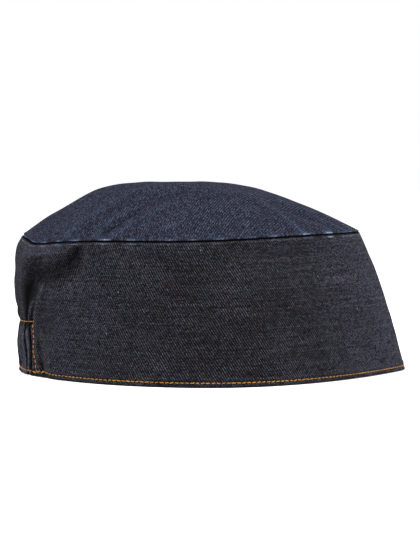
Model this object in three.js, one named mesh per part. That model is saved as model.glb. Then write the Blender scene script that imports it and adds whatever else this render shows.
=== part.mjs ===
// A chef's skull cap in dark denim: an oval crown panel sewn into a deep side band, and a casing at the
// nape where a flat elastic draws the band in.
// Millimetres, +Z up, +X to the forehead, -Y to the wearer's right. The cap stands on its hem at Z = 0, and
// the origin is under the middle of its length.
import * as THREE from "three";

// The hem, the band's lower edge, seen from above
const hemFront = 101; // middle of the cap to the hem at the forehead
const hemBack = 98.5; // middle of the cap to the hem at the nape
const hemHalfWidth = 83; // at the ears

// The crown seam, the band's upper edge, seen from above
const seamFront = 77.6;
const seamBack = 96.8;
const seamHalfWidth = 68;

// Heights above the surface that the cap stands on
const seamHeight = 71.6; // at the forehead
const capHeight = 97.4;

// How round each end of an outline is: a large value makes half an ellipse, and 0 a sharp corner. The hem
// keeps a soft corner at the forehead, where the cap was folded along its middle.
const hemFrontRound = 0.1;
const hemBackRound = 2.5;
const seamFrontRound = 0.9;
const seamBackRound = 8;

// Cloth
const clothThickness = 1.5;
const hemTurnUp = 5; // height of the turned-up edge
const hemThickness = 2.6; // of its layers together
const sewingGap = 0.3; // between two pieces where they are sewn
const bandFullness = 4; // how far the band swells past the straight line from hem to seam, at most
const foldDepth = 5; // of the deepest fold in the band
const seamHold = 0.08; // share of the band's height, under the seam, that the seam keeps from folding
const crownCentre = -16; // where the crown's slopes meet, from the middle of the cap
const lipHeight = 1.8; // of the roll where the crown panel turns down into the seam
const lipSetBack = 1.3;
const lipWall = 0.6; // of the cloth's thickness, left under the roll
const creaseDepth = 1.6; // of the strongest crease in the crown

// The elastic casing
const casingWidth = 68; // along the hem, drawn in
const casingHeight = 27.5; // a 25 mm elastic between rows of stitches that stand 2.5 mm in from the edge
const casingThickness = 3.4; // band cloth, elastic and facing
const pleatDepth = 2; // of the deepest pleat
const pleatHalfWidth = 2.3;
const pleatSpread = 1.5; // how much wider a pleat is when it reaches the seam, as a share
const stitchPinch = 0.8; // how far its upper row of stitches pulls the cloth in
const pinchHalfWidth = 2;
const hemLift = 2.3; // of the band's hem beside the casing, where the elastic puckers it
const hemLiftRun = 18; // along the hem, to where it lies flat again

// The seam's height from the nape to the forehead, as shares of half the girth and of seamHeight. It sags at
// the corners of the nape, where the band below it is slack.
const seamSections = [
  { around: 0, height: 0.974 },
  { around: 0.05, height: 0.962 },
  { around: 0.12, height: 0.927 },
  { around: 0.2, height: 0.944 },
  { around: 0.3, height: 0.96 },
  { around: 0.5, height: 0.967 },
  { around: 0.75, height: 0.996 },
  { around: 1, height: 1 },
];

// How full the band is at each height: shares of the band's height and of bandFullness.
const bandSections = [
  { up: 0, nape: 0, ear: 0, forehead: 0 },
  { up: 0.18, nape: 0.28, ear: 0.2, forehead: 0.22 },
  { up: 0.36, nape: 0.22, ear: 0.42, forehead: 0.38 },
  { up: 0.54, nape: 0.62, ear: 0.55, forehead: 0.43 },
  { up: 0.72, nape: 0.86, ear: 0.5, forehead: 0.38 },
  { up: 0.9, nape: 0.72, ear: 0.3, forehead: 0.17 },
  { up: 1, nape: 0, ear: 0, forehead: 0 },
];

// The crown's slopes from its centre out to the seam: shares of the reach and of the rise.
const crownSections = [
  { reach: 0, back: 1, front: 1 },
  { reach: 0.14, back: 0.998, front: 0.995 },
  { reach: 0.28, back: 0.985, front: 0.965 },
  { reach: 0.42, back: 0.945, front: 0.875 },
  { reach: 0.55, back: 0.82, front: 0.74 },
  { reach: 0.7, back: 0.585, front: 0.525 },
  { reach: 0.85, back: 0.33, front: 0.275 },
  { reach: 1, back: 0, front: 0 },
];

// The pleats in the casing. at is a share of half the casing's width, positive on the wearer's right, depth
// one of pleatDepth, and run the share of the band above the casing that the pleat rises through.
const pleats = [
  { at: -0.87, depth: 0.95, run: 0.5 },
  { at: -0.66, depth: 0.8, run: 0.3 },
  { at: -0.43, depth: 0.95, run: 0.5 },
  { at: -0.2, depth: 0.7, run: 0.25 },
  { at: 0.03, depth: 0.9, run: 0.45 },
  { at: 0.25, depth: 0.7, run: 0.25 },
  { at: 0.46, depth: 0.85, run: 0.4 },
  { at: 0.68, depth: 1, run: 0.35 },
  { at: 0.87, depth: 1, run: 0.3 },
];

// The folds in the band, a row for each point that a fold's valley passes. around runs from 0 at the nape to
// 1 at the forehead, positive on the wearer's right, and up is a share of the band's height. left and right
// are how wide the fold is on either side of its line, from its first row to its last, as shares of that
// height too. depth is a share of foldDepth, below 0 for a ridge.
const bandFolds = [
  { fold: "nape corner, right", around: 0.108, up: 0.46, left: 0.045, right: 0.042, depth: 0.45 },
  { fold: "nape corner, right", around: 0.114, up: 0.54, left: 0.06, right: 0.042, depth: 0.8 },
  { fold: "nape corner, right", around: 0.124, up: 0.64, left: 0.07, right: 0.042, depth: 0.9 },
  { fold: "nape corner, right", around: 0.134, up: 0.72, left: 0.07, right: 0.042, depth: 0.7 },
  { fold: "nape corner, right", around: 0.13, up: 0.85, left: 0.07, right: 0.05, depth: 0.2 },
  { fold: "under the right pouch", around: 0.265, up: 0.96, left: 0.042, right: 0.05, depth: 0.4 },
  { fold: "under the right pouch", around: 0.258, up: 0.885, left: 0.042, right: 0.08, depth: 0.95 },
  { fold: "under the right pouch", around: 0.237, up: 0.815, left: 0.042, right: 0.1, depth: 1 },
  { fold: "under the right pouch", around: 0.195, up: 0.765, left: 0.042, right: 0.1, depth: 0.75 },
  { fold: "under the right pouch", around: 0.15, up: 0.745, left: 0.042, right: 0.08, depth: 0.3 },
  { fold: "right pouch", around: 0.11, up: 0.9, left: 0.07, right: 0.07, depth: -0.25 },
  { fold: "right pouch", around: 0.2, up: 0.93, left: 0.05, right: 0.05, depth: -0.25 },
  { fold: "right ridge", around: 0.122, up: 0.46, left: 0.042, right: 0.05, depth: -0.15 },
  { fold: "right ridge", around: 0.147, up: 0.68, left: 0.042, right: 0.08, depth: -0.3 },
  { fold: "beside the casing, right", around: 0.154, up: 0.04, left: 0.042, right: 0.042, depth: 0.25 },
  { fold: "beside the casing, right", around: 0.143, up: 0.28, left: 0.042, right: 0.042, depth: 0.2 },
  { fold: "nape corner, left", around: -0.112, up: 0.46, left: 0.042, right: 0.05, depth: 0.45 },
  { fold: "nape corner, left", around: -0.117, up: 0.56, left: 0.042, right: 0.07, depth: 0.75 },
  { fold: "nape corner, left", around: -0.138, up: 0.69, left: 0.042, right: 0.075, depth: 0.7 },
  { fold: "nape corner, left", around: -0.15, up: 0.79, left: 0.045, right: 0.07, depth: 0.3 },
  { fold: "under the left pouch", around: -0.24, up: 0.95, left: 0.05, right: 0.042, depth: 0.35 },
  { fold: "under the left pouch", around: -0.222, up: 0.86, left: 0.09, right: 0.042, depth: 0.8 },
  { fold: "under the left pouch", around: -0.18, up: 0.8, left: 0.09, right: 0.042, depth: 0.6 },
  { fold: "left pouch", around: -0.1, up: 0.88, left: 0.07, right: 0.07, depth: -0.25 },
  { fold: "left pouch", around: -0.18, up: 0.93, left: 0.05, right: 0.05, depth: -0.2 },
  { fold: "beside the casing, left", around: -0.155, up: 0.04, left: 0.042, right: 0.042, depth: 0.25 },
  { fold: "beside the casing, left", around: -0.145, up: 0.26, left: 0.042, right: 0.042, depth: 0.2 },
  { fold: "middle of the nape", around: 0.03, up: 0.55, left: 0.06, right: 0.05, depth: 0.28 },
  { fold: "middle of the nape", around: -0.03, up: 0.8, left: 0.07, right: 0.06, depth: 0.34 },
];

// The soft creases in the crown, a row for each point. along is a share of the seam's reach to that end,
// across one of its half width, positive on the wearer's right, and left and right are shares of that half
// width too. depth is a share of creaseDepth, below 0 for a ridge.
const crownCreases = [
  { fold: "forehead ridge, right", along: 0.93, across: 0.16, left: 0.06, right: 0.06, depth: -0.9 },
  { fold: "forehead ridge, right", along: 0.45, across: 0.26, left: 0.11, right: 0.11, depth: -0.5 },
  { fold: "forehead hollow, right", along: 0.86, across: 0.36, left: 0.07, right: 0.07, depth: 0.8 },
  { fold: "forehead hollow, right", along: 0.4, across: 0.42, left: 0.1, right: 0.1, depth: 0.4 },
  { fold: "temple ridge, right", along: 0.58, across: 0.7, left: 0.07, right: 0.07, depth: -0.7 },
  { fold: "temple ridge, right", along: 0.3, across: 0.4, left: 0.1, right: 0.1, depth: -0.35 },
  { fold: "nape ridge, right", along: -0.72, across: 0.58, left: 0.08, right: 0.08, depth: -0.8 },
  { fold: "nape ridge, right", along: -0.3, across: 0.4, left: 0.12, right: 0.12, depth: -0.5 },
  { fold: "nape hollow, right", along: -0.52, across: 0.76, left: 0.08, right: 0.08, depth: 0.8 },
  { fold: "nape hollow, right", along: -0.16, across: 0.5, left: 0.12, right: 0.12, depth: 0.4 },
  { fold: "forehead ridge, left", along: 0.85, across: -0.3, left: 0.07, right: 0.07, depth: -0.8 },
  { fold: "forehead ridge, left", along: 0.42, across: -0.24, left: 0.1, right: 0.1, depth: -0.4 },
  { fold: "nape hollow, left", along: -0.76, across: -0.54, left: 0.08, right: 0.08, depth: 0.8 },
  { fold: "nape hollow, left", along: -0.3, across: -0.36, left: 0.12, right: 0.12, depth: 0.5 },
  { fold: "ear hollow, left", along: 0.1, across: -0.8, left: 0.1, right: 0.1, depth: 0.6 },
  { fold: "ear hollow, left", along: 0.05, across: -0.45, left: 0.12, right: 0.12, depth: 0.3 },
];

// How finely each surface is divided
const outlineCorners = 96;
const arcDivisions = 12; // of each stretch between two corners, to measure its length
const pleatStep = 1.9; // along the hem, across the casing
const foldStep = 2.4; // beside it, where the folds are
const foldedRun = 74; // from the nape to where they end
const plainStep = 12;
const foreheadRun = 14; // the stretch at the forehead's soft corner
const foreheadStep = 3.5;
const casingRows = [0.45, 0.72];
const bandRows = [0.07, 0.16, 0.25, 0.33, 0.41, 0.49, 0.57, 0.65, 0.73, 0.8, 0.87, 0.93, 0.975];
const crownColumns = 60;
const crownRows = [0.93, 0.84, 0.74, 0.64, 0.54, 0.44, 0.34, 0.22, 0.1];

// Small helpers
const lerp = THREE.MathUtils.lerp;
const smoothstep = THREE.MathUtils.smoothstep;
const bell = (distance, halfWidth) => Math.exp(-((distance / halfWidth) ** 2));
const wrapped = (share) => ((share % 1) + 1) % 1;

// A value between the rows of a table, on a smooth curve through one of its columns.
function tableValue(rows, key, at, column) {
  const last = rows.length - 1;
  const next = rows.findIndex((row, i) => i > 0 && (at <= row[key] || i === last));
  const here = rows[next - 1];
  const there = rows[next];
  const slope = (i) => {
    const before = rows[Math.max(i - 1, 0)];
    const after = rows[Math.min(i + 1, last)];
    return (after[column] - before[column]) / (after[key] - before[key]);
  };
  const width = there[key] - here[key];
  const t = THREE.MathUtils.clamp((at - here[key]) / width, 0, 1);
  const rise = t * t * (3 - 2 * t);
  const bend = t * (1 - t) * width * (slope(next - 1) * (1 - t) - slope(next) * t);
  return lerp(here[column], there[column], rise) + bend;
}

// How far a surface lies in at one point because of the folds in a table, as a share of the deepest one.
// place turns a row into a point of the same plane, and each fold counts once, where it is strongest.
function foldShare(rows, place, here, unit) {
  const strongest = new Map();
  rows.slice(1).forEach((end, i) => {
    const start = rows[i];
    if (start.fold !== end.fold) return;
    const from = place(start);
    const line = place(end).sub(from);
    const along = THREE.MathUtils.clamp(here.clone().sub(from).dot(line) / line.lengthSq(), 0, 1);
    const distance = here.distanceTo(from.clone().addScaledVector(line, along));
    const side = line.cross(here.clone().sub(from)) > 0 ? "left" : "right";
    const depth = lerp(start.depth, end.depth, along);
    const share = depth * bell(distance, unit * lerp(start[side], end[side], along));
    const before = strongest.get(end.fold) ?? 0;
    strongest.set(end.fold, Math.abs(share) > Math.abs(before) ? share : before);
  });
  return [...strongest.values()].reduce((sum, share) => sum + share, 0);
}

// A closed outline seen from above. It starts at the nape and runs by the wearer's right ear, the forehead
// and the left ear.
function planOutline(front, back, halfWidth, frontRound, backRound) {
  const corners = [];
  for (let i = 0; i < outlineCorners; i++) {
    const turn = (2 * Math.PI * i) / outlineCorners;
    const along = -Math.cos(turn);
    const across = -Math.sin(turn);
    const reach = along > 0 ? front : back;
    const round = along > 0 ? frontRound : backRound;
    const out = across * Math.sqrt((across ** 2 + round) / (1 + round));
    corners.push(new THREE.Vector3(reach * along, halfWidth * out, 0));
  }
  const outline = new THREE.CatmullRomCurve3(corners, true);
  outline.arcLengthDivisions = arcDivisions * outlineCorners;
  return outline;
}

const hemLine = planOutline(hemFront, hemBack, hemHalfWidth, hemFrontRound, hemBackRound);
const seamLine = planOutline(seamFront, seamBack, seamHalfWidth, seamFrontRound, seamBackRound);
const hemGirth = hemLine.getLength();
const halfGirth = hemGirth / 2;
const halfCasing = casingWidth / 2;
const casingTop = casingHeight / seamHeightAt(0); // as a share of the band's height

// The way out of the cap, level, at a share of an outline.
function wayOut(outline, share) {
  const tangent = outline.getTangentAt(wrapped(share));
  return new THREE.Vector3(tangent.y, -tangent.x, 0);
}

function seamHeightAt(share) {
  const around = 1 - 2 * Math.abs(wrapped(share) - 0.5);
  return seamHeight * tableValue(seamSections, "around", around, "height");
}

// The band between hem and seam. around is the distance from the nape along the hem, positive on the
// wearer's right, up a share of the band's height, and inset how far the point lies in from the plain face.
function bandPoint(around, up, inset, lift = 0) {
  const share = around / hemGirth;
  const low = hemLine.getPointAt(wrapped(share));
  const high = seamLine.getPointAt(wrapped(share));
  const backness = Math.cos(2 * Math.PI * share);
  const nape = Math.max(backness, 0) ** 2;
  const forehead = Math.max(-backness, 0) ** 2;
  const full =
    nape * tableValue(bandSections, "up", up, "nape") +
    forehead * tableValue(bandSections, "up", up, "forehead") +
    (1 - nape - forehead) * tableValue(bandSections, "up", up, "ear");
  const out = wayOut(hemLine, share).lerp(wayOut(seamLine, share), up).normalize();
  const point = low.lerp(high, up).addScaledVector(out, bandFullness * full - inset);
  return point.setZ(lerp(lift, seamHeightAt(share), up));
}

// The pleats' depth in the casing, and above it as far as each one rises.
function pleatInset(around, up) {
  const above = Math.max(up - casingTop, 0) / (1 - casingTop);
  const wider = pleatHalfWidth * (1 + pleatSpread * above);
  return pleats.reduce((sum, pleat) => {
    const left = 1 - smoothstep(above, 0, pleat.run);
    return sum + pleatDepth * pleat.depth * left * bell(around - pleat.at * halfCasing, wider);
  }, 0);
}

// The groove that the upper row of stitches pulls along the casing's top.
function pinchInset(around, up) {
  const onCasing = 1 - smoothstep(Math.abs(around), halfCasing, halfCasing + 2 * pinchHalfWidth);
  return stitchPinch * onCasing * bell((up - casingTop) * seamHeight, pinchHalfWidth);
}

function bandInset(around, up) {
  const flat = (share, height) => new THREE.Vector2(share * halfGirth, height * seamHeight);
  const place = (row) => flat(row.around, row.up);
  const folds = foldShare(bandFolds, place, flat(around / halfGirth, up), seamHeight);
  const free = smoothstep(1 - up, 0, seamHold);
  const above = up < casingTop ? 0 : pleatInset(around, up);
  return pinchInset(around, up) + free * (foldDepth * folds + above);
}

// The band's hem is lifted a little beside the casing.
function hemLiftAt(around) {
  return hemLift * (1 - smoothstep(Math.abs(around) - halfCasing, 0, hemLiftRun));
}

// A closed wall of cloth over a grid of columns and rows: an outer and an inner face on the kept cells, and
// an edge strip wherever a kept cell has no kept neighbour. A pole closes the last row to one point.
function clothWall({ columns, rows, outer, inner, round, keep = () => true, pole }) {
  const points = [];
  const triangles = [];
  const place = (face) => columns.map((c) => rows.map((r) => points.push(face(c, r)) - 1));
  const outerAt = place(outer);
  const innerAt = place(inner);
  const across = round ? columns.length : columns.length - 1;
  const up = rows.length - 1;
  const column = (c) => (round ? (c + columns.length) % columns.length : c);
  const kept = (c, r) => {
    const inside = r >= 0 && r < up && (round || (c >= 0 && c < across));
    return inside && keep(column(c), r);
  };
  const quad = (a, b, c, d) => triangles.push(a, b, c, a, c, d);
  const edge = ([c0, r0], [c1, r1]) => {
    const from = column(c0);
    const to = column(c1);
    quad(outerAt[to][r1], outerAt[from][r0], innerAt[from][r0], innerAt[to][r1]);
  };
  for (let c = 0; c < across; c++) {
    const d = column(c + 1);
    for (let r = 0; r < up; r++) {
      if (!kept(c, r)) continue;
      quad(outerAt[c][r], outerAt[d][r], outerAt[d][r + 1], outerAt[c][r + 1]);
      quad(innerAt[c][r], innerAt[c][r + 1], innerAt[d][r + 1], innerAt[d][r]);
      if (!kept(c, r - 1)) edge([c, r], [c + 1, r]);
      if (!kept(c + 1, r)) edge([c + 1, r], [c + 1, r + 1]);
      if (!kept(c, r + 1) && !(pole && r + 1 === up)) edge([c + 1, r + 1], [c, r + 1]);
      if (!kept(c - 1, r)) edge([c, r + 1], [c, r]);
    }
    if (!pole) continue;
    const outerPole = points.length;
    triangles.push(outerAt[c][up], outerAt[d][up], outerPole);
    triangles.push(innerAt[d][up], innerAt[c][up], outerPole + 1);
  }
  if (pole) points.push(pole.outer, pole.inner);
  const used = [...new Set(triangles)];
  const renumbered = new Map(used.map((old, i) => [old, i]));
  const geometry = new THREE.BufferGeometry().setFromPoints(used.map((i) => points[i]));
  geometry.setIndex(triangles.map((i) => renumbered.get(i)));
  geometry.computeVertexNormals();
  return geometry;
}

// Even steps of about one size from a start up to an end, without the end.
function steps(from, to, step) {
  const count = Math.max(Math.round((to - from) / step), 1);
  return Array.from({ length: count }, (_, i) => lerp(from, to, i / count));
}

// The side band, one strip of denim with a recess at the lower nape for the casing
function sideBand() {
  const plainEnd = halfGirth - foreheadRun;
  const right = [
    ...steps(0, halfCasing, pleatStep),
    ...steps(halfCasing, foldedRun, foldStep),
    ...steps(foldedRun, plainEnd, plainStep),
    ...steps(plainEnd, halfGirth, foreheadStep),
  ];
  const left = right.slice(1).reverse();
  const columns = [...right, halfGirth, ...left.map((around) => -around)];
  const turnUp = hemTurnUp / seamHeight;
  const ledge = (hemTurnUp + clothThickness / 2) / seamHeight;
  const rows = [
    0,
    turnUp,
    ledge,
    ...casingRows.map((share) => casingTop * share),
    casingTop,
    ...bandRows.map((share) => lerp(casingTop, 1, share)),
    1,
  ];
  const inRecess = (around) => around > -halfCasing - 1e-6 && around < halfCasing - 1e-6;
  const face = (thickness) => (around, up) =>
    bandPoint(around, up, bandInset(around, up) + thickness(up), hemLiftAt(around));
  return clothWall({
    columns,
    rows,
    round: true,
    keep: (c, r) => !(inRecess(columns[c]) && rows[r] < casingTop - 1e-6),
    outer: face(() => 0),
    inner: face((up) => (up <= turnUp ? hemThickness : clothThickness)),
  });
}

// The casing at the nape: pleated cloth outside, the elastic's smooth facing inside
function elasticCasing() {
  const halfWidth = halfCasing - sewingGap;
  const height = casingTop - sewingGap / seamHeight;
  const count = 2 * Math.round(halfCasing / pleatStep);
  return clothWall({
    columns: Array.from({ length: count + 1 }, (_, i) => lerp(-halfWidth, halfWidth, i / count)),
    rows: [0, hemTurnUp / seamHeight, ...casingRows.map((share) => height * share), height],
    round: false,
    outer: (around, up) => bandPoint(around, up, pleatInset(around, up) + pinchInset(around, up)),
    inner: (around, up) => bandPoint(around, up, casingThickness),
  });
}

// The crown panel's face, depth below its top face. reach runs from 0 at the centre to 1 where the panel
// turns down into the seam.
function crownPoint(share, reach, depth) {
  const rim = seamLine.getPointAt(wrapped(share));
  const base = seamHeightAt(share) + sewingGap;
  rim.addScaledVector(wayOut(seamLine, share), -depth - lipSetBack);
  const centre = new THREE.Vector3(crownCentre, 0, 0);
  const frontness = (1 - Math.cos(2 * Math.PI * share)) / 2;
  const rise = lerp(
    tableValue(crownSections, "reach", reach, "back"),
    tableValue(crownSections, "reach", reach, "front"),
    frontness,
  );
  const point = centre.lerp(rim, reach);
  const shoulder = base + lipHeight - lipWall * depth;
  return point.setZ(lerp(shoulder, capHeight - depth, rise) - creaseInset(point));
}

function creaseInset(point) {
  const place = ({ along, across }) =>
    new THREE.Vector2(along * (along > 0 ? seamFront : seamBack), -across * seamHalfWidth);
  const here = new THREE.Vector2(point.x, point.y);
  return creaseDepth * foldShare(crownCreases, place, here, seamHalfWidth);
}

// The panel's edge, standing on the band's upper edge.
function crownRim(share, depth) {
  const rim = seamLine.getPointAt(wrapped(share));
  const height = seamHeightAt(share) + sewingGap;
  return rim.addScaledVector(wayOut(seamLine, share), -depth).setZ(height);
}

function crownPanel() {
  const rimRow = 2; // past every reach, so that it can't be mistaken for one
  const face = (depth) => (share, row) =>
    row === rimRow ? crownRim(share, depth) : crownPoint(share, row, depth);
  return clothWall({
    columns: Array.from({ length: crownColumns }, (_, i) => i / crownColumns),
    rows: [rimRow, 1, ...crownRows],
    round: true,
    outer: face(0),
    inner: face(clothThickness),
    pole: { outer: crownPoint(0, 0, 0), inner: crownPoint(0, 0, clothThickness) },
  });
}

// Finish: indigo denim. The crown panel's cloth runs the other way and looks bluer.
const bandDenim = new THREE.MeshStandardMaterial({ color: 0x2d2b30, roughness: 0.92, metalness: 0 });
const crownDenim = new THREE.MeshStandardMaterial({ color: 0x363846, roughness: 0.9, metalness: 0 });

function piece(name, geometry, material) {
  const mesh = new THREE.Mesh(geometry, material);
  mesh.name = name;
  return mesh;
}

const cap = new THREE.Group();
cap.add(piece("side_band", sideBand(), bandDenim));
cap.add(piece("elastic_casing", elasticCasing(), bandDenim));
cap.add(piece("crown_panel", crownPanel(), crownDenim));

export default cap;
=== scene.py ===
from collections import namedtuple
from math import radians

import bmesh
import bpy
import numpy as np
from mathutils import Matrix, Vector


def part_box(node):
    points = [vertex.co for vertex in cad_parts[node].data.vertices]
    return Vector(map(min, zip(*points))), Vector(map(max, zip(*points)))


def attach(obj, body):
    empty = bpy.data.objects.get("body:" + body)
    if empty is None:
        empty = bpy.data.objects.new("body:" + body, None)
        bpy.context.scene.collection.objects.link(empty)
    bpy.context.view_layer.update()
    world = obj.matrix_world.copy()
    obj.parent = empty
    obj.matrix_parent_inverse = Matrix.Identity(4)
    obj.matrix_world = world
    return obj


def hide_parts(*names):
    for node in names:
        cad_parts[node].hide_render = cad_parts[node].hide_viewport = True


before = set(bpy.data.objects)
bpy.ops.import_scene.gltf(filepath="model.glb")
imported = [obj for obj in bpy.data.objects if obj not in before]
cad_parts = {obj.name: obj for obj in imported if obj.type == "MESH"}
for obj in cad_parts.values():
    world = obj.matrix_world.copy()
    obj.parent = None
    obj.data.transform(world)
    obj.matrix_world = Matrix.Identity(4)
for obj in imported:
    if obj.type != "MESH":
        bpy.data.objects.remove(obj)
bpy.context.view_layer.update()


# Side band: one strip of denim round the head, sewn to the crown above. Its lower edge is turned up into a
# hem. A flat elastic gathers its lower nape, and the cloth above that falls into folds. Its warp stands
# upright, so the slubs of the weft run round the head.
MM = 0.001
band_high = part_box("side_band")[1] / MM
crown_low, crown_high = (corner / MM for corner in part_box("crown_panel"))
HEM_BACK = 98.5  # the hem at the nape lies inside the band's box, because the band bags out over it
SEAM_HEIGHT = band_high.z  # at the forehead
CLOTH = 1.3
GROOVE = 0.6  # how far below the seam the band's cloth starts to turn in
HEM_LAYERS = 2.6
HEM_TURN_UP = 5
BAND_FULLNESS = 4
FOLD_DEPTH = 5
CASING_WIDTH = 68
CASING_HEIGHT = 27.5
PLEAT_DEPTH = 1
PLEAT_HALF_WIDTH = 2.5
# Painted shade in the pleats
PLEAT_SHADE = 1.8  # how dark a pleat is, times its share of the deepest, up to 1
PLEAT_RUB = 0.62  # how much the tops between the pleats are rubbed
HEM_STITCH_HEIGHT = 2.4
CASING_STITCH = 34.6  # from the nape to each upright row of stitches
CASING_STITCH_SPLAY = 2.8  # and this much further at the hem
CASING_STITCH_LOW = 26.2  # height of the casing's upper row of stitches at the nape
CASING_STITCH_HIGH = 27.7  # and at its corners
CASING_PINCH = 0.8  # how far this row draws the cloth in
HEM_LIFT = 0.9
HEM_LIFT_RISE = 7
HEM_LIFT_RUN = 20
WAVE_DEPTH = 0.42
SMALL_WAVE_DEPTH = 0.12
STILL_SHARE = 0.35  # of the waves' depth, left where the cloth is taut
SLACK_RUN = 95  # from the nape, to where it is taut
STITCH_DENT = 0.4  # depth of the furrow along a row of stitches
HEM_STEP = 0.28  # how far the turned-up hem stands out
ROPE_DEPTH = 0.11  # of the slanting ridges that sewing leaves in a hem
ROPE_PITCH = 3.3
PUCKER_DEPTH = 0.22
# Above 0 the ridges are rubbed paler, below 0 painted shade darkens the hollows
RIDGE_RUB_AND_HOLLOW_SHADE = 0.5
WIDE_RIDGE_RUB_AND_HOLLOW_SHADE = 0.15
SEAM_RUB = 0.55
# Painted shade along the crown seam's groove
SEAM_GROOVE_SHADE = 1.4

SeamRow = namedtuple("SeamRow", "around height")
SEAM_SECTIONS = [
    SeamRow(0, 0.974),
    SeamRow(0.05, 0.962),
    SeamRow(0.12, 0.927),
    SeamRow(0.2, 0.944),
    SeamRow(0.3, 0.96),
    SeamRow(0.5, 0.967),
    SeamRow(0.75, 0.996),
    SeamRow(1, 1),
]

BandRow = namedtuple("BandRow", "up nape ear forehead")
BAND_SECTIONS = [
    BandRow(0, 0, 0, 0),
    BandRow(0.18, 0.28, 0.2, 0.22),
    BandRow(0.36, 0.22, 0.42, 0.38),
    BandRow(0.54, 0.62, 0.55, 0.43),
    BandRow(0.72, 0.86, 0.5, 0.3),
    BandRow(0.9, 0.72, 0.3, 0.02),
    BandRow(1, 0, 0, -0.16),
]

# The band is rubbed paler, and paler still with a painted sheen, towards the forehead and where it bags out
# beside the casing.
RubAndSheenRow = namedtuple("RubAndSheenRow", "around rub")
RUB_AND_SHEEN_SECTIONS = [
    RubAndSheenRow(0, 0.06),
    RubAndSheenRow(40, 0.16),
    RubAndSheenRow(65, 0.2),
    RubAndSheenRow(100, 0.1),
    RubAndSheenRow(135, 0),
    RubAndSheenRow(185, 0),
    RubAndSheenRow(215, 0.1),
    RubAndSheenRow(245, 0.28),
    RubAndSheenRow(277, 0.42),
]

# at is a share of half the casing's width, run the share of the band above it that a pleat rises through,
# and lean the millimetres by which it moves outward down to the hem.
Pleat = namedtuple("Pleat", "at depth run lean")
PLEATS = [
    Pleat(-0.88, 0.9, 0.1, -3),
    Pleat(-0.66, 1, 0.2, -5),
    Pleat(-0.44, 0.7, 0.3, -3),
    Pleat(-0.27, 0.9, 0.4, -2),
    Pleat(-0.1, 0.7, 0.25, 0),
    Pleat(0.07, 0.95, 0.4, 1),
    Pleat(0.25, 0.7, 0.25, 2),
    Pleat(0.44, 0.15, 0.2, 3),
    Pleat(0.645, 1.25, 0.06, 5.5),
    Pleat(0.895, 1, 0.06, 2.6),
]
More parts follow.
